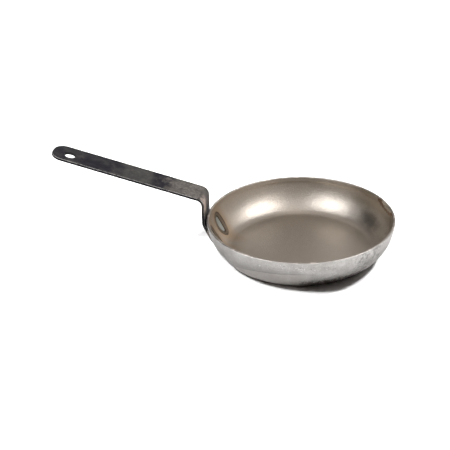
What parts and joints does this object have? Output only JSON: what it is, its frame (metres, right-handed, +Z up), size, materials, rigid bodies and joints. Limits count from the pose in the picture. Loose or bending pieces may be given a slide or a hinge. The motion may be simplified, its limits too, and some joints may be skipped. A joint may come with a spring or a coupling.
{
  "type": "omelette pan",
  "caption": "Round steel omelette pan with curved sides and a welded flat-bar handle that rises from its rim and ends in a hanging hole.",
  "frame": {"origin": "centre of the pan's flat underside, on the surface it stands on", "axes": "+Z up along the pan's axis, -X along the handle towards its tip, +Y to the side"},
  "size_m": [0.3673, 0.2, 0.1047],
  "materials": {
    "pan_steel": "bare carbon steel, satin and worn",
    "handle_black": "black coated steel, rubbed at the bend",
    "weld_metal": "heat-tinted weld"
  },
  "bodies": {
    "root": {"pan_body": "pan_steel", "handle": "handle_black", "front_weld": "weld_metal", "rear_weld": "weld_metal"}
  },
  "joints": []
}
